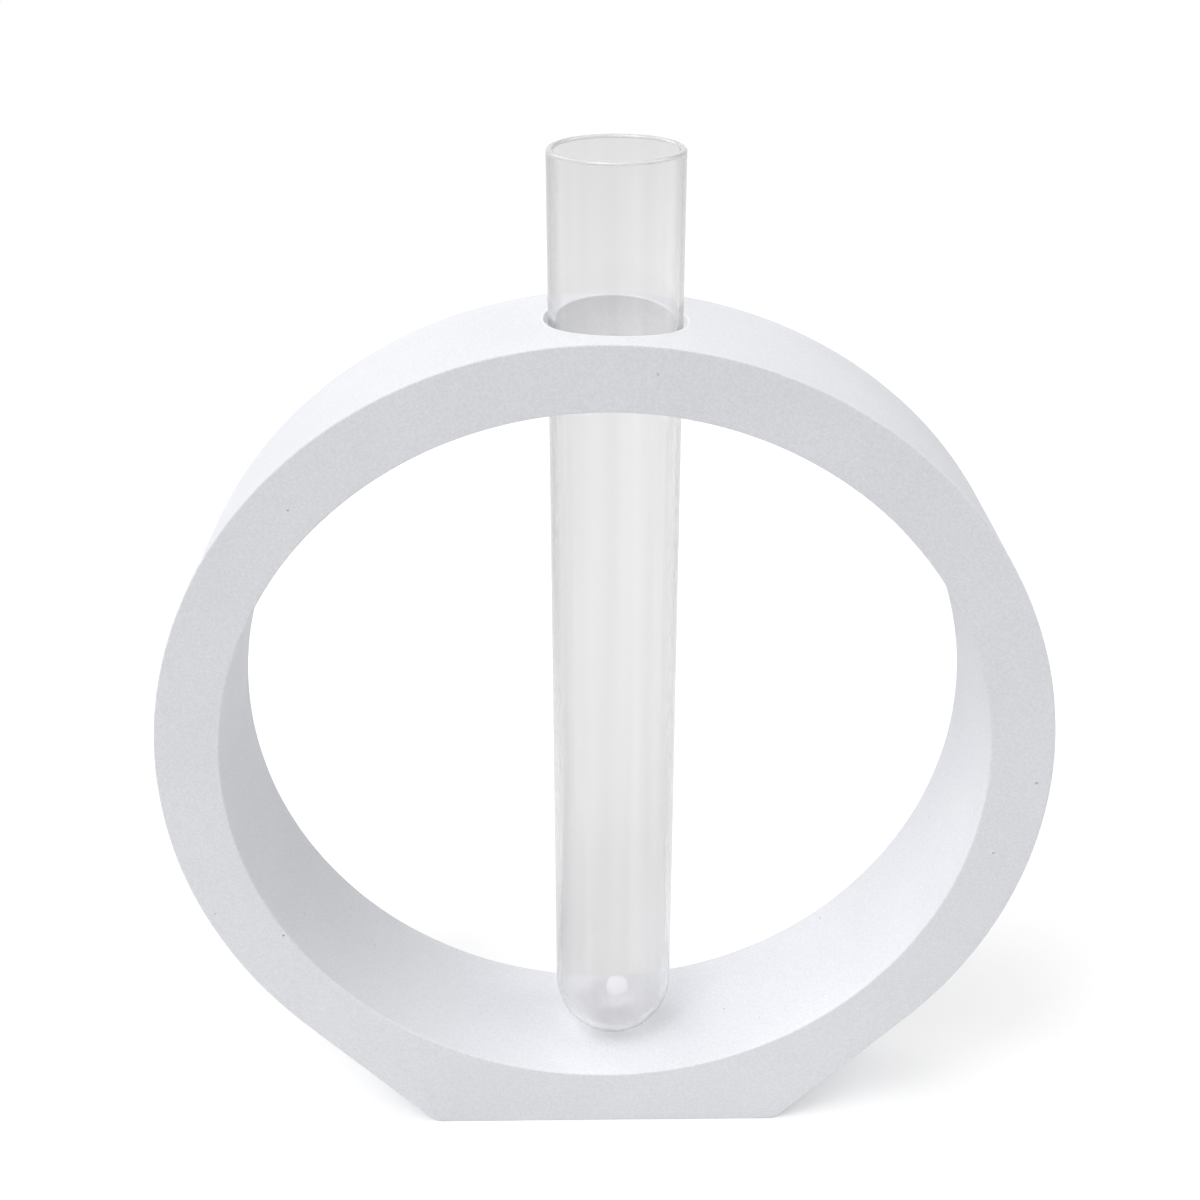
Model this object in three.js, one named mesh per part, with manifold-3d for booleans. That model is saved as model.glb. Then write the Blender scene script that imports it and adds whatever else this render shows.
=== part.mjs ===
// A cement bud vase: a round cement ring on a flat foot, with a glass test tube standing in it.
// The tube drops in through a hole in the top of the ring and rests on the ring's inner bottom.
// Millimetres, +Z up. The origin is the middle of the foot's underside, and the ring faces -Y and +Y.

import * as THREE from 'three';
import { mergeVertices } from 'three/addons/utils/BufferGeometryUtils.js';
import Module from 'manifold-3d';

const wasm = await Module();
wasm.setup();

// Cement ring
const RING_DIAMETER = 180;
const RING_WALL = 13;
const RING_DEPTH = 35;
const FOOT_WIDTH = 76;
const FOOT_CORNER_RADIUS = 3;
const FACE_EDGE_RADIUS = 0.8;

// Glass test tube
const TUBE_DIAMETER = 25.5;
const TUBE_WALL = 1.3;
const TUBE_LENGTH = 197.5;

// The hole that the tube stands in: its play round the tube, and its place right of and behind the middle
const HOLE_PLAY = 0.8;
const HOLE_RIGHT = 2;
const HOLE_BACK = 1.5;

// The tube leans on the front of its hole and stands on the ring, both with a hair's gap
const TOUCH_GAP = 0.3;

// Steps of the round shapes
const RING_STEPS = 120;
const CORNER_STEPS = 4;
const EDGE_STEPS = 2;
const TUBE_STEPS = 56;
const DOME_STEPS = 12;
const RIM_STEPS = 4;

// Sizes that follow from the ones above
const ringRadius = RING_DIAMETER / 2;
const openingRadius = ringRadius - RING_WALL;
const ringCentreHeight = ringRadius;
const tubeRadius = TUBE_DIAMETER / 2;
const holeRadius = tubeRadius + HOLE_PLAY;
const tubeForward = HOLE_PLAY - TOUCH_GAP;

// Points along an arc, both ends included, with angles in radians from the +X direction.
function arc(centreX, centreY, radius, from, to, steps) {
  const points = [];
  for (let i = 0; i <= steps; i++) {
    const angle = from + ((to - from) * i) / steps;
    points.push(new THREE.Vector2(centreX + radius * Math.cos(angle), centreY + radius * Math.sin(angle)));
  }
  return points;
}

// A mesh's geometry in the part's frame as a solid that can be cut.
function solidOf(mesh) {
  mesh.updateMatrixWorld(true);
  const geometry = mesh.geometry.clone().applyMatrix4(mesh.matrixWorld);
  geometry.deleteAttribute('normal');
  geometry.deleteAttribute('uv');
  const merged = mergeVertices(geometry, 1e-4);
  return new wasm.Manifold(
    new wasm.Mesh({
      numProp: 3,
      vertProperties: new Float32Array(merged.attributes.position.array),
      triVerts: new Uint32Array(merged.index.array),
    }),
  );
}

function geometryOf(solid) {
  const cut = solid.getMesh();
  const geometry = new THREE.BufferGeometry();
  geometry.setAttribute('position', new THREE.BufferAttribute(cut.vertProperties, 3));
  geometry.setIndex(new THREE.BufferAttribute(cut.triVerts, 1));
  geometry.computeVertexNormals();
  return geometry;
}

// The ring seen from the front: a circle that stands on a flat foot. The foot is level with the circle's
// lowest point, and its two flanks run straight from the foot's rounded corners to touch the circle.
function ringOutline() {
  const flankSlope = 2 * Math.atan(FOOT_WIDTH / 2 / ringRadius);
  const flankTouch = flankSlope - Math.PI / 2;
  const cornerX = FOOT_WIDTH / 2 - FOOT_CORNER_RADIUS * Math.tan(flankSlope / 2);
  const outline = new THREE.Shape([
    ...arc(cornerX, FOOT_CORNER_RADIUS, FOOT_CORNER_RADIUS, -Math.PI / 2, flankTouch, CORNER_STEPS),
    ...arc(0, ringCentreHeight, ringRadius, flankTouch, Math.PI - flankTouch, RING_STEPS),
    ...arc(-cornerX, FOOT_CORNER_RADIUS, FOOT_CORNER_RADIUS, Math.PI - flankTouch, 1.5 * Math.PI, CORNER_STEPS),
  ]);
  const opening = arc(0, ringCentreHeight, openingRadius, 0, 2 * Math.PI, RING_STEPS);
  opening.pop();
  outline.holes.push(new THREE.Path(opening.reverse()));
  return outline;
}

// The ring is cast as one piece, with small rounded edges round both faces, and the tube's hole goes down
// through its top into the round opening.
function makeRing() {
  const blank = new THREE.Mesh(
    new THREE.ExtrudeGeometry(ringOutline(), {
      depth: RING_DEPTH - 2 * FACE_EDGE_RADIUS,
      bevelThickness: FACE_EDGE_RADIUS,
      bevelSize: FACE_EDGE_RADIUS,
      bevelOffset: -FACE_EDGE_RADIUS,
      bevelSegments: EDGE_STEPS,
    }),
  );
  blank.rotation.x = Math.PI / 2;
  blank.position.y = RING_DEPTH / 2 - FACE_EDGE_RADIUS;

  const holeCutter = new THREE.Mesh(new THREE.CylinderGeometry(holeRadius, holeRadius, RING_DIAMETER, TUBE_STEPS));
  holeCutter.rotation.x = Math.PI / 2;
  holeCutter.position.set(HOLE_RIGHT, HOLE_BACK, ringCentreHeight + RING_DIAMETER / 2);

  const cement = new THREE.MeshStandardMaterial({ color: 0xe9eaee, roughness: 0.85, metalness: 0 });
  const ring = new THREE.Mesh(geometryOf(solidOf(blank).subtract(solidOf(holeCutter))), cement);
  ring.name = 'cement_ring';
  return ring;
}

// Half the tube's section, from the middle of its round bottom up the outside, over the rounded rim and
// back down the inside.
function tubeSection() {
  const boreRadius = tubeRadius - TUBE_WALL;
  const rimRadius = TUBE_WALL / 2;
  return [
    ...arc(0, tubeRadius, tubeRadius, -Math.PI / 2, 0, DOME_STEPS),
    ...arc(tubeRadius - rimRadius, TUBE_LENGTH - rimRadius, rimRadius, 0, Math.PI, RIM_STEPS),
    ...arc(0, tubeRadius, boreRadius, 0, -Math.PI / 2, DOME_STEPS),
  ];
}

// The tube stands upright, its round bottom on the curve of the ring's opening and its front against the
// front of the hole.
function makeTube() {
  const section = tubeSection();
  section[0].x = 0;
  section[section.length - 1].x = 0;
  const glass = new THREE.MeshStandardMaterial({
    color: 0xe4ebea,
    roughness: 0.03,
    metalness: 0,
    transparent: true,
    opacity: 0.35,
  });
  const tube = new THREE.Mesh(new THREE.LatheGeometry(section, TUBE_STEPS), glass);
  tube.name = 'test_tube';
  tube.rotation.x = Math.PI / 2;
  const domeToRing = openingRadius - tubeRadius - TOUCH_GAP;
  const domeCentreHeight = ringCentreHeight - Math.sqrt(domeToRing ** 2 - HOLE_RIGHT ** 2);
  tube.position.set(HOLE_RIGHT, HOLE_BACK - tubeForward, domeCentreHeight - tubeRadius);
  return tube;
}

const vase = new THREE.Group();
vase.add(makeRing());
vase.add(makeTube());

export default vase;
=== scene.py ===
"""A cement bud vase: a round ring of white cement on a flat foot, with a glass test tube standing in it.

Metres, +Z up. The origin is the middle of the foot's underside, and the ring's faces look along -Y and +Y.
"""

import math
import random

import bmesh
import bpy
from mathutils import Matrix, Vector


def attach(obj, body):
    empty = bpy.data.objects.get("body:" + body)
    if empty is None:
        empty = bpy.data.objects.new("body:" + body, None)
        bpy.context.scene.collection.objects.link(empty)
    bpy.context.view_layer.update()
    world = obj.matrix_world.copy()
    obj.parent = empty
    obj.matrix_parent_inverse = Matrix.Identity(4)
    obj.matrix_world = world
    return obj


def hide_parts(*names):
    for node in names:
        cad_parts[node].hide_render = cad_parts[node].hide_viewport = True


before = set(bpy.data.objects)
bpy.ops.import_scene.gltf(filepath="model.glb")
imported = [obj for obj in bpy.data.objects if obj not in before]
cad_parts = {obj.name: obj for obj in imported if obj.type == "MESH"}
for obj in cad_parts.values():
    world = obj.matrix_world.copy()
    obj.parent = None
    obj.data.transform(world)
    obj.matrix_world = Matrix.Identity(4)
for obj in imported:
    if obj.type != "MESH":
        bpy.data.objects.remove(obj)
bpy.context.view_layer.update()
bpy.ops.object.select_all(action="DESELECT")

# The camera stands in front of the vase, a little left of its middle, and looks down on it at about 26
# degrees, so that the ring's top and inner bottom both show.
PHOTO_PIXELS = 1200
SENSOR_MM = 36.0
FOCAL_PIXELS = 1734.8
CAMERA_PLACE = (-0.00523, -0.31399, 0.27515)
CAMERA_DOWN_DEG = 26.17
CAMERA_RIGHT_DEG = 0.78
CAMERA_CLIP_START = 0.01

camera_data = bpy.data.cameras.new("camera")
camera_data.sensor_width = SENSOR_MM
camera_data.lens = FOCAL_PIXELS / PHOTO_PIXELS * SENSOR_MM
camera_data.clip_start = CAMERA_CLIP_START
camera = bpy.data.objects.new("camera", camera_data)
camera.location = CAMERA_PLACE
camera.rotation_euler = (math.radians(90 - CAMERA_DOWN_DEG), 0, math.radians(-CAMERA_RIGHT_DEG))
bpy.context.scene.collection.objects.link(camera)
bpy.context.scene.camera = camera


# The ring is cast in one piece from fine white cement in a smooth mould, and stands on a flat foot that is
# cast on. Its faces are flat, its edges are rubbed down a little, and a round hole for the tube goes down
# through its top. Small air bubbles have left pinholes here and there.
RING_RADIUS = 0.090
OPENING_RADIUS = 0.077
RING_DEPTH = 0.035
FOOT_HALF_WIDTH = 0.038
FOOT_CORNER_RADIUS = 0.003
FLANK_TOP_DEG = -44.0
EDGE_RADIUS = 0.0004
HOLE_RADIUS = 0.01355
HOLE_PLACE = (0.002, 0.0015)
HOLE_EDGE_RADIUS = 0.0004
CORE_OVERSHOOT = 0.003
CAST_WAVER = 0.00012
CAST_WAVER_LENGTH = 0.018
STANDING_HEIGHT = 0.0002

# Steps of the round shapes and cuts across the straight ones. An edge over LONG_EDGE is a straight run that
# isn't cut yet, and one over SPOKE_EDGE on a face crosses it.
RING_STEPS = 720
FOOT_CORNER_STEPS = 6
EDGE_STEPS = 3
HOLE_STEPS = 160
FLARE_STEPS = 4
FLANK_CUTS = 45
FOOT_CUTS = 79
DEPTH_CUTS = 13
FACE_CUTS = 4
LONG_EDGE = 0.02
SPOKE_EDGE = 0.005
SAME_PLACE = 1e-5
FLARE_TRIM = 5e-6
SHARP_DEG = 60

# Pinholes: on the front face X, Z and radius in millimetres, and in the opening the angle round the ring in
# degrees from the right, then Y and radius in millimetres. The others are spread over the remaining sides.
FRONT_PINHOLES_MM = [
    (9.2, 174.4, 0.34),
    (-69.3, 123.7, 0.24),
    (-68.3, 54.4, 0.24),
    (9.3, 171.6, 0.22),
    (-59.0, 148.3, 0.30),
    (86.9, 87.7, 0.36),
    (79.9, 70.8, 0.38),
    (74.6, 53.0, 0.26),
    (-81.4, 57.1, 0.26),
    (-67.6, 51.4, 0.34),
]
OPENING_PINHOLES = [
    (-49.3, 13.8, 0.34),
    (-69.4, -1.6, 0.32),
    (-80.9, 8.0, 0.30),
    (-63.5, -8.5, 0.22),
    (-132.1, 3.3, 0.28),
    (-137.9, 6.9, 0.26),
    (-95.8, 3.3, 0.22),
]
MORE_PINHOLES = 34
MORE_PINHOLES_DEG = (-40, 220)
MORE_PINHOLES_MM = (0.14, 0.32)
PINHOLE_SEED = 11
PINHOLE_SPREAD = 0.9
PINHOLE_FROM_EDGE = 0.0015
PINHOLE_FROM_HOLE = 0.016
BUBBLE_SUNK = 0.35
BUBBLE_STRETCH = (0.8, 1.15)
BUBBLE_TURN = (0, 3)

ring_front = -RING_DEPTH / 2
flank_slope = 2 * math.atan(FOOT_HALF_WIDTH / RING_RADIUS)


def pick(kind, wanted):
    """In edit mode, selects only the vertices, edges or faces that the test wants."""
    bpy.ops.mesh.select_mode(type=kind)
    bpy.ops.mesh.select_all(action="DESELECT")
    mesh = bmesh.from_edit_mesh(bpy.context.edit_object.data)
    for item in {"VERT": mesh.verts, "EDGE": mesh.edges, "FACE": mesh.faces}[kind]:
        if wanted(item):
            item.select_set(True)
    mesh.select_flush_mode()
    bmesh.update_edit_mesh(bpy.context.edit_object.data)


def middle(edge):
    return (edge.verts[0].co + edge.verts[1].co) / 2


def along(edge):
    return edge.verts[1].co - edge.verts[0].co


def turn_faces_out():
    """In edit mode, turns all the faces outward, and leaves them all selected."""
    bpy.ops.mesh.select_all(action="SELECT")
    bpy.ops.mesh.normals_make_consistent(inside=False)


def round_sharp_edges(radius, steps):
    """In edit mode, rounds all the sharp edges."""
    bpy.ops.mesh.select_all(action="DESELECT")
    bpy.ops.mesh.select_mode(type="EDGE")
    bpy.ops.mesh.edges_select_sharp(sharpness=math.radians(SHARP_DEG))
    bpy.ops.mesh.bevel(offset=radius, offset_type="OFFSET", segments=steps, profile=0.5, affect="EDGES")


def apply_modifier(piece, kind, **settings):
    """Adds a modifier to the piece with these settings, and applies it."""
    modifier = piece.modifiers.new(kind.lower(), kind)
    for name, value in settings.items():
        setattr(modifier, name, value)
    bpy.context.view_layer.objects.active = piece
    bpy.ops.object.modifier_apply(modifier=modifier.name)


def cut_away(piece, cutter):
    """Cuts the cutter's shape out of the piece, and deletes the cutter."""
    apply_modifier(piece, "BOOLEAN", operation="DIFFERENCE", object=cutter, solver="EXACT")
    bpy.data.objects.remove(cutter)


def shade_smooth(piece, sharp_deg):
    """Shades the piece smooth, except over edges sharper than this angle, and keeps its flat faces flat."""
    bpy.ops.object.select_all(action="DESELECT")
    piece.select_set(True)
    bpy.context.view_layer.objects.active = piece
    bpy.ops.object.shade_smooth_by_angle(angle=math.radians(sharp_deg))
    apply_modifier(piece, "WEIGHTED_NORMAL", keep_sharp=True, weight=50)


def ring_direction(degrees):
    """The direction from the ring's middle, by the angle from the right as seen from the front."""
    return Vector((math.cos(math.radians(degrees)), 0, math.sin(math.radians(degrees))))


# The front outline: the circle's arc down to the flanks, then the flanks, foot corners and foot.
bpy.ops.mesh.primitive_circle_add(
    vertices=RING_STEPS,
    radius=RING_RADIUS,
    location=(0, ring_front, RING_RADIUS),
    rotation=(math.radians(90), 0, 0),
)
ring = bpy.context.object
ring.name = "cement_casting"
bpy.ops.object.transform_apply(location=True, rotation=True, scale=True)
bpy.ops.object.mode_set(mode="EDIT")
flank_top = Vector((
    RING_RADIUS * math.cos(math.radians(FLANK_TOP_DEG)),
    ring_front,
    RING_RADIUS + RING_RADIUS * math.sin(math.radians(FLANK_TOP_DEG)),
))
pick("VERT", lambda v: v.co.z < flank_top.z - SAME_PLACE)
bpy.ops.mesh.delete(type="VERT")
for side in (1, -1):
    start = Vector((side * flank_top.x, flank_top.y, flank_top.z))
    corner = Vector((side * FOOT_HALF_WIDTH, ring_front, 0))
    pick("VERT", lambda v: (v.co - start).length < SAME_PLACE)
    bpy.ops.mesh.extrude_region_move(TRANSFORM_OT_translate={"value": corner - start})
pick("VERT", lambda v: v.co.z < SAME_PLACE)
bpy.ops.mesh.edge_face_add()
bpy.ops.mesh.bevel(
    offset=FOOT_CORNER_RADIUS * math.tan(flank_slope / 2),
    offset_type="OFFSET",
    segments=FOOT_CORNER_STEPS,
    affect="VERTICES",
)
pick("EDGE", lambda e: along(e).length > LONG_EDGE and abs(middle(e).x) > FOOT_HALF_WIDTH)
bpy.ops.mesh.subdivide(number_cuts=FLANK_CUTS)
pick("EDGE", lambda e: along(e).length > LONG_EDGE)
bpy.ops.mesh.subdivide(number_cuts=FOOT_CUTS)

# The opening's outline is joined to it for the front face, which is drawn back to the ring's depth, and the
# four long edges are rounded.
bpy.ops.mesh.primitive_circle_add(
    vertices=RING_STEPS,
    radius=OPENING_RADIUS,
    location=(0, ring_front, RING_RADIUS),
    rotation=(math.radians(90), 0, 0),
)
bpy.ops.mesh.select_all(action="SELECT")
bpy.ops.mesh.bridge_edge_loops()
bpy.ops.mesh.select_all(action="SELECT")
bpy.ops.mesh.extrude_region_move(TRANSFORM_OT_translate={"value": (0, RING_DEPTH, 0)})
turn_faces_out()
round_sharp_edges(EDGE_RADIUS, EDGE_STEPS)
pick("EDGE", lambda e: abs(along(e).y) > LONG_EDGE)
bpy.ops.mesh.subdivide(number_cuts=DEPTH_CUTS)
pick("EDGE", lambda e: abs(along(e).y) < SAME_PLACE and along(e).length > SPOKE_EDGE)
bpy.ops.mesh.subdivide(number_cuts=FACE_CUTS)
turn_faces_out()
bpy.ops.object.mode_set(mode="OBJECT")

# The mould and the rubbing down leave the surface a tenth of a millimetre uneven, but not where it stands.
uneven = bpy.data.textures.new("cast_waver", "CLOUDS")
uneven.noise_scale = CAST_WAVER_LENGTH
uneven.noise_depth = 1
free = ring.vertex_groups.new(name="above_the_foot")
free.add([v.index for v in ring.data.vertices if v.co.z > STANDING_HEIGHT], 1.0, "REPLACE")
apply_modifier(
    ring,
    "DISPLACE",
    texture=uneven,
    texture_coords="LOCAL",
    strength=CAST_WAVER,
    mid_level=1.0,
    vertex_group=free.name,
)
ring.vertex_groups.clear()

# The hole is formed by a round core. Both its ends flare a little and follow the ring's curve, so that the
# hole's two edges come out rounded. Each of its rings of points bends with one of the ring's two radii, and
# has its own rise above it and its own radius round the hole's axis.
flare = []
for step in range(FLARE_STEPS + 1):
    turn = math.radians(90 / FLARE_STEPS * step)
    drop = HOLE_EDGE_RADIUS * (1 - math.cos(turn)) - FLARE_TRIM
    flare.append((drop, HOLE_RADIUS + HOLE_EDGE_RADIUS * (1 - math.sin(turn))))
flare_end = HOLE_RADIUS + HOLE_EDGE_RADIUS
core_rings = [(OPENING_RADIUS, -CORE_OVERSHOOT, flare_end)]
core_rings += [(OPENING_RADIUS, rise, radius) for rise, radius in flare]
core_rings += [(RING_RADIUS, -drop, radius) for drop, radius in reversed(flare)]
core_rings += [(RING_RADIUS, CORE_OVERSHOOT, flare_end)]
bpy.ops.mesh.primitive_circle_add(vertices=HOLE_STEPS, radius=1.0, fill_type="NGON", location=(0, 0, 0))
core = bpy.context.object
bpy.ops.object.mode_set(mode="EDIT")
for level, (bend_radius, rise, radius) in enumerate(core_rings):
    if level:
        bpy.ops.mesh.extrude_region_move(TRANSFORM_OT_translate={"value": (0, 0, CORE_OVERSHOOT)})
    mesh = bmesh.from_edit_mesh(core.data)
    for vert in mesh.verts:
        if vert.select:
            outward = Vector((vert.co.x, vert.co.y)) - (Vector(HOLE_PLACE) if level else Vector((0, 0)))
            x, y = Vector(HOLE_PLACE) + outward.normalized() * radius
            vert.co = (x, y, RING_RADIUS + math.sqrt(bend_radius**2 - x**2) + rise)
    bmesh.update_edit_mesh(core.data)
turn_faces_out()
bpy.ops.object.mode_set(mode="OBJECT")
cut_away(ring, core)

# Pinholes: small round bubbles that open at the surface, a few on every side.
bubbles = []
for x, z, radius in FRONT_PINHOLES_MM:
    bubbles.append((Vector((x / 1000, ring_front, z / 1000)), Vector((0, 1, 0)), radius / 1000))
for degrees, y, radius in OPENING_PINHOLES:
    outward = ring_direction(degrees)
    bubbles.append((Vector((0, y / 1000, RING_RADIUS)) + outward * OPENING_RADIUS, outward, radius / 1000))
middle_of_ring = Vector((0, 0, RING_RADIUS))
dice = random.Random(PINHOLE_SEED)
for number in range(MORE_PINHOLES):
    outward = ring_direction(dice.uniform(*MORE_PINHOLES_DEG))
    radius = dice.uniform(*MORE_PINHOLES_MM) / 1000
    across = dice.uniform(-PINHOLE_SPREAD, PINHOLE_SPREAD) * RING_DEPTH / 2
    up = dice.uniform(OPENING_RADIUS + PINHOLE_FROM_EDGE, RING_RADIUS - PINHOLE_FROM_EDGE)
    spots = [
        (middle_of_ring + outward * up + Vector((0, RING_DEPTH / 2, 0)), Vector((0, -1, 0))),
        (middle_of_ring + outward * RING_RADIUS + Vector((0, across, 0)), -outward),
        (middle_of_ring + outward * OPENING_RADIUS + Vector((0, across, 0)), outward),
    ]
    spot, inward = spots[number % 3]
    from_hole = (Vector(spot.xy) - Vector(HOLE_PLACE)).length
    beside_hole = from_hole < HOLE_RADIUS + PINHOLE_FROM_HOLE and spot.z > RING_RADIUS
    if not beside_hole:
        bubbles.append((spot, inward, radius))
bubble_meshes = []
for spot, inward, radius in bubbles:
    centre = spot + inward * radius * BUBBLE_SUNK
    bpy.ops.mesh.primitive_ico_sphere_add(subdivisions=2, radius=radius, location=centre)
    bubble = bpy.context.object
    bubble.scale = [dice.uniform(*BUBBLE_STRETCH) for axis in "XYZ"]
    bubble.rotation_euler = [dice.uniform(*BUBBLE_TURN) for axis in "XYZ"]
    bubble_meshes.append(bubble)
bpy.ops.object.select_all(action="DESELECT")
for bubble in bubble_meshes:
    bubble.select_set(True)
bpy.context.view_layer.objects.active = bubble_meshes[0]
bpy.ops.object.join()
cut_away(ring, bpy.context.object)

# White cement: a fine sandy grain and faint clouds of paste. Over these goes painted light and shade: the
# colour is lighter towards the foot and darker towards the top, and the cement inside the hole is painted
# paler.
# HOLE_LIGHT_FULL and HOLE_LIGHT_END are distances out from the hole's radius, and HOLE_LIGHT_BELOW is how far
# below the opening's top the paler cement starts.
CEMENT_ROUGHNESS = 0.85
CEMENT_IOR = 1.45
CEMENT_SPECULAR = 0.35
DARK_PASTE = (0.815, 0.825, 0.862)
LIGHT_PASTE = (0.845, 0.852, 0.885)
PASTE_SCALE = 38
PASTE_DETAIL = 3
PASTE_RANGE = (0.3, 0.7)
FOOT_PAINTED_LIGHT = 1.045
TOP_PAINTED_SHADE = 0.945
HOLE_PAINTED_LIGHT = (0.93, 0.935, 0.95)
HOLE_LIGHT_FULL = 0.0001
HOLE_LIGHT_END = 0.0005
HOLE_LIGHT_BELOW = 0.0015
GRAIN_SCALE = 2050
GRAIN_DETAIL = 2
GRAIN_ROUGHNESS = 0.6
GRAIN_RANGE = (0.25, 0.75)
DARK_GRAIN = 0.905
LIGHT_GRAIN = 1.025
GRAIN_HEIGHT = 0.0001
GRAIN_STRENGTH = 0.35
CEMENT_SHARP_DEG = 40


def new_material(name):
    """A new material, with its nodes, its links and its Principled shader."""
    material = bpy.data.materials.new(name)
    material.use_nodes = True
    tree = material.node_tree
    return material, tree.nodes, tree.links, tree.nodes["Principled BSDF"]


# The helpers below add to the nodes and links that were named last. Where they take a value, it is another
# node's output or a plain number, vector or colour.
def feed(socket, value):
    if isinstance(value, bpy.types.NodeSocket):
        links.new(value, socket)
    else:
        socket.default_value = value


def object_place():
    """The place on the object, in metres from the part's origin."""
    return nodes.new("ShaderNodeTexCoord").outputs["Object"]


def axes_of(vector):
    """The vector's X, Y and Z, each by its name."""
    node = nodes.new("ShaderNodeSeparateXYZ")
    links.new(vector, node.inputs[0])
    return node.outputs


def calculate(operation, first, second):
    node = nodes.new("ShaderNodeMath")
    node.operation = operation
    feed(node.inputs[0], first)
    feed(node.inputs[1], second)
    return node.outputs[0]


def calculate_vector(operation, first, second):
    node = nodes.new("ShaderNodeVectorMath")
    node.operation = operation
    feed(node.inputs[0], first)
    feed(node.inputs[1], second)
    return node.outputs["Vector"]


def length_of(vector):
    node = nodes.new("ShaderNodeVectorMath")
    node.operation = "LENGTH"
    links.new(vector, node.inputs[0])
    return node.outputs["Value"]


def levels_between(value, start, end, first, last):
    """The first level up to the start value, the last one from the end value, and an even slope between."""
    node = nodes.new("ShaderNodeMapRange")
    feed(node.inputs["Value"], value)
    feed(node.inputs["From Min"], start)
    feed(node.inputs["From Max"], end)
    feed(node.inputs["To Min"], first)
    feed(node.inputs["To Max"], last)
    return node.outputs[0]


def noise(at, scale, detail, roughness=0.5):
    node = nodes.new("ShaderNodeTexNoise")
    feed(node.inputs["Vector"], at)
    feed(node.inputs["Scale"], scale)
    feed(node.inputs["Detail"], detail)
    feed(node.inputs["Roughness"], roughness)
    return node.outputs["Fac"]


def ramp(value, low, high, low_colour, high_colour):
    """The low colour up to the low value, the high one from the high value, and an even slope between."""
    node = nodes.new("ShaderNodeValToRGB")
    node.color_ramp.elements[0].position = low
    node.color_ramp.elements[0].color = (*low_colour, 1)
    node.color_ramp.elements[1].position = high
    node.color_ramp.elements[1].color = (*high_colour, 1)
    links.new(value, node.inputs["Fac"])
    return node.outputs["Color"]


def mix(kind, share, first, second):
    """The two colours mixed in this kind, by this share."""
    node = nodes.new("ShaderNodeMix")
    node.data_type = "RGBA"
    node.blend_type = kind
    feed(node.inputs["Factor"], share)
    feed(node.inputs["A"], first)
    feed(node.inputs["B"], second)
    return node.outputs["Result"]


cement, nodes, links, shader = new_material("white_cement")
shader.inputs["Roughness"].default_value = CEMENT_ROUGHNESS
shader.inputs["IOR"].default_value = CEMENT_IOR
shader.inputs["Specular IOR Level"].default_value = CEMENT_SPECULAR
place = object_place()
height = axes_of(place)["Z"]
clouds = ramp(noise(place, PASTE_SCALE, PASTE_DETAIL), *PASTE_RANGE, DARK_PASTE, LIGHT_PASTE)
share_up = calculate("DIVIDE", height, 2 * RING_RADIUS)
# Painted shade: the paste is made lighter towards the foot and darker towards the top.
painted_height_shade = mix("MULTIPLY", 1.0, clouds, ramp(share_up, 0.0, 1.0, (FOOT_PAINTED_LIGHT,) * 3, (TOP_PAINTED_SHADE,) * 3))
# Painted light: the cement inside the hole is made paler, by its distance from the hole's axis.
from_hole = calculate_vector("SUBTRACT", place, (*HOLE_PLACE, 0))
hole_distance = length_of(calculate_vector("MULTIPLY", from_hole, (1, 1, 0)))
in_hole = levels_between(hole_distance, HOLE_RADIUS + HOLE_LIGHT_FULL, HOLE_RADIUS + HOLE_LIGHT_END, 1.0, 0.0)
above_opening = calculate("GREATER_THAN", height, RING_RADIUS + OPENING_RADIUS - HOLE_LIGHT_BELOW)
hole_light_share = calculate("MULTIPLY", in_hole, above_opening)
hole_lightened = mix("MIX", hole_light_share, painted_height_shade, (*HOLE_PAINTED_LIGHT, 1))
grain_noise = noise(place, GRAIN_SCALE, GRAIN_DETAIL, GRAIN_ROUGHNESS)
grain = ramp(grain_noise, *GRAIN_RANGE, (DARK_GRAIN,) * 3, (LIGHT_GRAIN,) * 3)
links.new(mix("MULTIPLY", 1.0, hole_lightened, grain), shader.inputs["Base Color"])
bump = nodes.new("ShaderNodeBump")
bump.inputs["Strength"].default_value = GRAIN_STRENGTH
bump.inputs["Distance"].default_value = GRAIN_HEIGHT
links.new(grain_noise, bump.inputs["Height"])
links.new(bump.outputs["Normal"], shader.inputs["Normal"])
ring.data.materials.clear()
ring.data.materials.append(cement)
shade_smooth(ring, CEMENT_SHARP_DEG)
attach(ring, "ring")
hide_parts("cement_ring")


# The test tube is drawn from clear laboratory glass, with a round bottom blown in one with it and its rim
# melted smooth. It stands loose in the hole, with its bottom on the curve of the opening.
TUBE_RADIUS = 0.01275
TUBE_WALL = 0.0013
TUBE_PLACE = (0.002, 0.001)
TUBE_DOME_HEIGHT = 0.026081
TUBE_RIM_HEIGHT = 0.210831
TUBE_STEPS = 360
DOME_STEPS = 80
TUBE_CUTS = 3
RIM_ROUNDING = 0.00062
RIM_STEPS = 5
SAME_POINT = 1e-7

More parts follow.
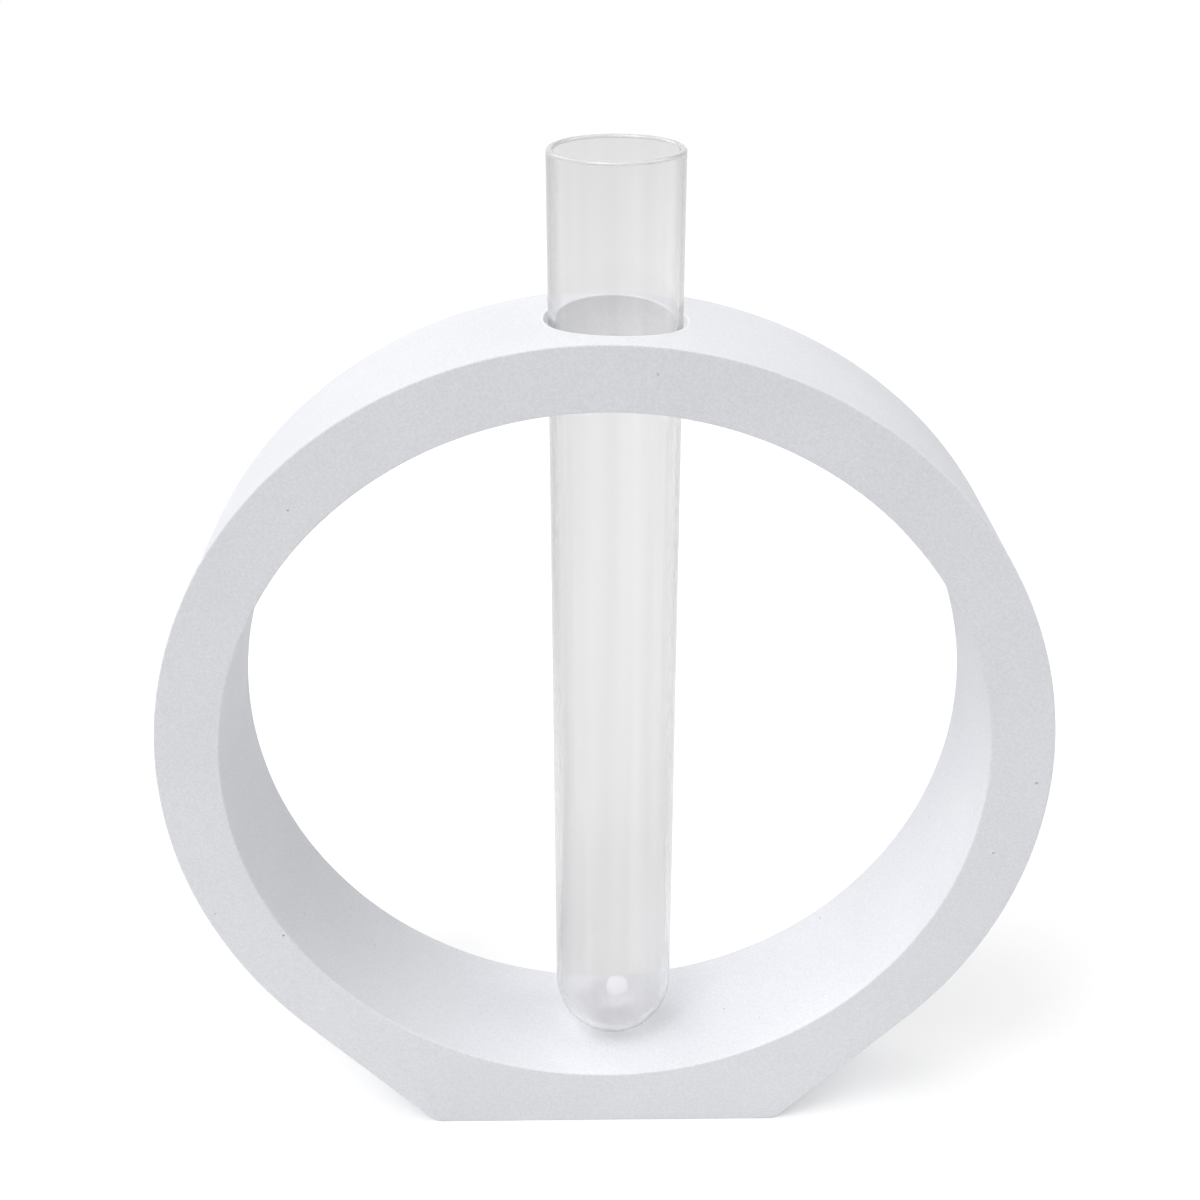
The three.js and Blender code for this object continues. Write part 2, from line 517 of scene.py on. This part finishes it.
bpy.ops.mesh.primitive_uv_sphere_add(
    segments=TUBE_STEPS,
    ring_count=DOME_STEPS,
    radius=TUBE_RADIUS,
    location=(*TUBE_PLACE, TUBE_DOME_HEIGHT),
)
tube = bpy.context.object
tube.name = "glass_test_tube"
bpy.ops.object.transform_apply(location=True, rotation=True, scale=True)
bpy.ops.object.mode_set(mode="EDIT")
pick("VERT", lambda v: v.co.z > TUBE_DOME_HEIGHT + SAME_PLACE)
bpy.ops.mesh.delete(type="VERT")
pick("EDGE", lambda e: min(v.co.z for v in e.verts) > TUBE_DOME_HEIGHT - SAME_PLACE)
up_to_rim = (0, 0, TUBE_RIM_HEIGHT - TUBE_DOME_HEIGHT)
bpy.ops.mesh.extrude_region_move(TRANSFORM_OT_translate={"value": up_to_rim})
pick("EDGE", lambda e: abs(along(e).z) > LONG_EDGE)
bpy.ops.mesh.subdivide(number_cuts=TUBE_CUTS)
bpy.ops.mesh.select_all(action="SELECT")
bpy.ops.mesh.remove_doubles(threshold=SAME_POINT)
turn_faces_out()
bpy.ops.object.mode_set(mode="OBJECT")
apply_modifier(tube, "SOLIDIFY", thickness=TUBE_WALL, offset=-1.0, use_rim=True, use_even_offset=True)
bpy.ops.object.mode_set(mode="EDIT")
round_sharp_edges(RIM_ROUNDING, RIM_STEPS)
bpy.ops.object.mode_set(mode="OBJECT")

# Faint streaks of painted reflection run up the glass: greyer bands that stand in for the stripes the glass
# reflects. The group puts out a grey that the glass's colour is multiplied by.
STREAK_SCALE = 230
STREAK_DETAIL = 2
STREAK_RANGE = (0.3, 0.7)
STREAK_LENGTHENED = 0.02

painted_reflection_streaks = bpy.data.node_groups.new("painted_reflection_streaks", "ShaderNodeTree")
painted_reflection_streaks.interface.new_socket("Place", in_out="INPUT", socket_type="NodeSocketVector")
painted_reflection_streaks.interface.new_socket("Depth", in_out="INPUT", socket_type="NodeSocketFloat")
painted_reflection_streaks.interface.new_socket("Grey", in_out="OUTPUT", socket_type="NodeSocketColor")
nodes = painted_reflection_streaks.nodes
links = painted_reflection_streaks.links
streak_in = nodes.new("NodeGroupInput")
streak_out = nodes.new("NodeGroupOutput")
round_the_axis = calculate_vector("SUBTRACT", streak_in.outputs["Place"], (*TUBE_PLACE, 0))
stretched = calculate_vector("MULTIPLY", round_the_axis, (1, 1, STREAK_LENGTHENED))
streak_noise = noise(stretched, STREAK_SCALE, STREAK_DETAIL)
streak_strength = levels_between(streak_noise, *STREAK_RANGE, 1.0, 0.0)
streak_depth = calculate("MULTIPLY", streak_strength, streak_in.outputs["Depth"])
links.new(calculate("SUBTRACT", 1.0, streak_depth), streak_out.inputs["Grey"])

# The wall is clear glass with a very faint grey tint. Its outside is painted darker where one looks along the
# wall, as painted shade for the glass's darker edges. SIDE_SHARES says by height how much it darkens, and
# SHADOW_LEVELS how much of the lamps' light goes through.
GLASS_IOR = 1.47
GLASS_TINT = (0.967, 0.964, 0.968)
SIDES_FROM = 0.40
SIDES_TO = 0.67
SIDES_GREY = 0.46
SIDE_SHARES = [
    (0.030, 0.0),
    (0.130, 1.0),
]
LIGHT_PASSED = 0.985
SHADOW_LEVELS = [
    (0.024, 0.62),
    (0.050, 0.92),
    (0.070, 1.0),
    (0.182, 1.0),
    (0.192, 0.9),
]
WALL_STREAKS = 0.045


def make_glassy(body, transmission, roughness):
    """Sets the shader to glass with this transmission and roughness."""
    body.inputs["Roughness"].default_value = roughness
    body.inputs["IOR"].default_value = GLASS_IOR
    body.inputs["Transmission Weight"].default_value = transmission


def add_painted_streaks(body, at, colour, depth):
    """Puts the painted reflection streaks over the colour, and feeds it to the shader."""
    streaks = nodes.new("ShaderNodeGroup")
    streaks.node_tree = painted_reflection_streaks
    feed(streaks.inputs["Place"], at)
    feed(streaks.inputs["Depth"], depth)
    links.new(mix("MULTIPLY", 1.0, colour, streaks.outputs["Grey"]), body.inputs["Base Color"])


def let_light_through(body, share):
    """Lets this share of the lamps' light through the thin glass, so that it hardly casts a shadow."""
    passes = nodes.new("ShaderNodeBsdfTransparent")
    passes.inputs["Color"].default_value = (LIGHT_PASSED, LIGHT_PASSED, LIGHT_PASSED, 1)
    path = nodes.new("ShaderNodeLightPath")
    from_lamp = calculate("MAXIMUM", path.outputs["Is Shadow Ray"], path.outputs["Is Diffuse Ray"])
    either = nodes.new("ShaderNodeMixShader")
    links.new(calculate("MULTIPLY", from_lamp, share), either.inputs["Fac"])
    links.new(body.outputs["BSDF"], either.inputs[1])
    links.new(passes.outputs["BSDF"], either.inputs[2])
    links.new(either.outputs["Shader"], nodes["Material Output"].inputs["Surface"])


wall_glass, nodes, links, shader = new_material("laboratory_glass")
make_glassy(shader, 1.0, 0.0)
place = object_place()
share_up = calculate("DIVIDE", axes_of(place)["Z"], TUBE_RIM_HEIGHT)


def by_height(levels):
    """A level for each height on the tube, with an even slope from one to the next."""
    node = nodes.new("ShaderNodeValToRGB")
    stops = node.color_ramp.elements
    stops[0].color = (levels[0][1],) * 3 + (1,)
    stops[1].color = (levels[-1][1],) * 3 + (1,)
    for tube_height, level in levels:
        stops.new(tube_height / TUBE_RIM_HEIGHT).color = (level, level, level, 1)
    links.new(share_up, node.inputs["Fac"])
    return node.outputs["Color"]


# The distance from the tube's axis, or in the round bottom from its centre, tells the outside from the bore.
from_dome_centre = calculate_vector("SUBTRACT", place, (*TUBE_PLACE, TUBE_DOME_HEIGHT))
from_axis = length_of(calculate_vector("MINIMUM", from_dome_centre, (1, 1, 0)))
outside = calculate("GREATER_THAN", from_axis, TUBE_RADIUS - TUBE_WALL / 2)
# Painted shade: the outside is greyed where one looks along it.
facing = nodes.new("ShaderNodeLayerWeight").outputs["Facing"]
painted_edge_shade = ramp(facing, SIDES_FROM, SIDES_TO, (1, 1, 1), (SIDES_GREY,) * 3)
side_share = calculate("MULTIPLY", by_height(SIDE_SHARES), outside)
tinted = mix("MULTIPLY", side_share, (*GLASS_TINT, 1), painted_edge_shade)
add_painted_streaks(shader, place, tinted, WALL_STREAKS)
let_light_through(shader, by_height(SHADOW_LEVELS))

# The rim is the same glass, rounded by melting. Its greyer, less clear colour is painted shade for how the
# rounded glass looks.
RIM_COLOUR = (0.75, 0.76, 0.76)
RIM_TRANSMISSION = 0.2
RIM_ROUGHNESS = 0.12
RIM_STREAKS = 0.12
TUBE_SHARP_DEG = 60

rim_glass, nodes, links, shader = new_material("fire_polished_rim")
make_glassy(shader, RIM_TRANSMISSION, RIM_ROUGHNESS)
add_painted_streaks(shader, object_place(), (*RIM_COLOUR, 1), RIM_STREAKS)
let_light_through(shader, 1.0)

tube.data.materials.clear()
tube.data.materials.append(wall_glass)
tube.data.materials.append(rim_glass)
for face in tube.data.polygons:
    face.material_index = 1 if face.center.z > TUBE_RIM_HEIGHT - RIM_ROUNDING else 0
shade_smooth(tube, TUBE_SHARP_DEG)
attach(tube, "tube")
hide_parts("test_tube")


# The floor is a plain white sheet. It is lifted to white where the camera sees it, but for the vase's soft
# shadow, and further out it is as white as the room, so that no edge of it shows. Through the glass, the
# floor and the room read a little greyer, and the floor behind the vase glows lighter to the right, a painted
# glow that gives the glass a lighter right edge.
FLOOR_SIZE = 8.0
FLOOR_ROUGHNESS = 0.9
FLOOR_LIFT = 0.20
FLOOR_LIFT_RIGHT = 0.18
FLOOR_RIGHT_END = 0.25
FLOOR_BEHIND_FROM = 0.05
FLOOR_LIT_TO = 0.50
FLOOR_WHITE_FROM = 1.10
PAPER = (0.84, 0.84, 0.84)
PAPER_IN_GLASS = (0.785, 0.785, 0.785)
WHITE_IN_GLASS = 0.80


def seen_ray():
    """One where a ray comes from the camera, from a reflection or through glass, and otherwise nought."""
    path = nodes.new("ShaderNodeLightPath")
    mirrored = calculate("MAXIMUM", path.outputs["Is Camera Ray"], path.outputs["Is Glossy Ray"])
    return calculate("MAXIMUM", mirrored, path.outputs["Is Transmission Ray"])


bpy.ops.mesh.primitive_plane_add(size=FLOOR_SIZE, location=(0, 0, 0))
floor = bpy.context.object
floor.name = "floor"
paper, nodes, links, paper_shader = new_material("floor_paper")
place = object_place()
seen = seen_ray()
in_glass = nodes.new("ShaderNodeLightPath").outputs["Is Transmission Ray"]
seen_directly = calculate("SUBTRACT", seen, in_glass)
lift = levels_between(seen_directly, 0.0, 1.0, 0.0, FLOOR_LIFT)
# Painted light: seen through the glass, the floor behind the vase glows lighter to the right.
lift_right = levels_between(axes_of(place)["X"], 0.0, FLOOR_RIGHT_END, 0.0, FLOOR_LIFT_RIGHT)
behind = levels_between(axes_of(place)["Y"], 0.0, FLOOR_BEHIND_FROM, 0.0, 1.0)
lift_right = calculate("MULTIPLY", behind, calculate("MULTIPLY", in_glass, lift_right))
paper_colour = mix("MIX", in_glass, (*PAPER, 1), (*PAPER_IN_GLASS, 1))
links.new(paper_colour, paper_shader.inputs["Base Color"])
links.new(calculate("ADD", lift, lift_right), paper_shader.inputs["Emission Strength"])
paper_shader.inputs["Emission Color"].default_value = (1, 1, 1, 1)
paper_shader.inputs["Roughness"].default_value = FLOOR_ROUGHNESS
paper_shader.inputs["Specular IOR Level"].default_value = 0.0
white = nodes.new("ShaderNodeEmission")
white.inputs["Color"].default_value = (1, 1, 1, 1)
links.new(levels_between(in_glass, 0.0, 1.0, 1.0, WHITE_IN_GLASS), white.inputs["Strength"])
whiteness = levels_between(length_of(place), FLOOR_LIT_TO, FLOOR_WHITE_FROM, 0.0, 1.0)
lit_or_white = nodes.new("ShaderNodeMixShader")
links.new(calculate("MULTIPLY", seen, whiteness), lit_or_white.inputs["Fac"])
links.new(paper_shader.outputs["BSDF"], lit_or_white.inputs[1])
links.new(white.outputs["Emission"], lit_or_white.inputs[2])
links.new(lit_or_white.outputs["Shader"], nodes["Material Output"].inputs["Surface"])
floor.data.materials.append(paper)

# Soft studio light: a large soft lamp high in front on the left, one on the left, one behind on the left,
# one on the right, and an even room. A round lamp shows only in the glass and as the faint shine of the
# cement, and leaves a soft glint in the tube's round bottom.
ROOM_LIGHT = 0.23
LAMP_SIZE = 6.0
GLINT_LAMP_SIZE = 8.5
LAMP_DISTANCE = 9.6
LIT_MIDDLE = (0, 0, 0.1)

world = bpy.data.worlds.new("room")
bpy.context.scene.world = world
world.use_nodes = True
nodes = world.node_tree.nodes
links = world.node_tree.links
room = nodes["Background"]
room.inputs["Color"].default_value = (1, 1, 1, 1)
in_glass = nodes.new("ShaderNodeLightPath").outputs["Is Transmission Ray"]
room_level = levels_between(seen_ray(), 0.0, 1.0, ROOM_LIGHT, 1.0)
glass_level = levels_between(in_glass, 0.0, 1.0, 1.0, WHITE_IN_GLASS)
links.new(calculate("MULTIPLY", room_level, glass_level), room.inputs["Strength"])


def lamp(name, around_deg, up_deg, power):
    """A large soft square lamp that shines at the vase from so far round from the front and so high."""
    around = math.radians(around_deg)
    up = math.radians(up_deg)
    direction = Vector((math.sin(around) * math.cos(up), -math.cos(around) * math.cos(up), math.sin(up)))
    data = bpy.data.lights.new(name, "AREA")
    data.shape = "SQUARE"
    data.size = LAMP_SIZE
    data.energy = power
    lamp_object = bpy.data.objects.new(name, data)
    lamp_object.location = Vector(LIT_MIDDLE) + direction * LAMP_DISTANCE
    lamp_object.rotation_euler = direction.to_track_quat("Z", "Y").to_euler()
    lamp_object.visible_camera = False
    lamp_object.visible_transmission = False
    bpy.context.scene.collection.objects.link(lamp_object)
    return lamp_object


lamp("front_lamp", -30, 50, 273)
lamp("left_lamp", -60, 60, 337)
lamp("back_left_lamp", -135, 38, 306)
lamp("right_lamp", 90, 50, 334)
glint_lamp = lamp("glint_lamp", -20, 61, 540)
glint_lamp.data.shape = "DISK"
glint_lamp.data.size = GLINT_LAMP_SIZE
glint_lamp.visible_diffuse = False
glint_lamp.visible_transmission = True

bpy.context.scene.view_settings.view_transform = "Standard"
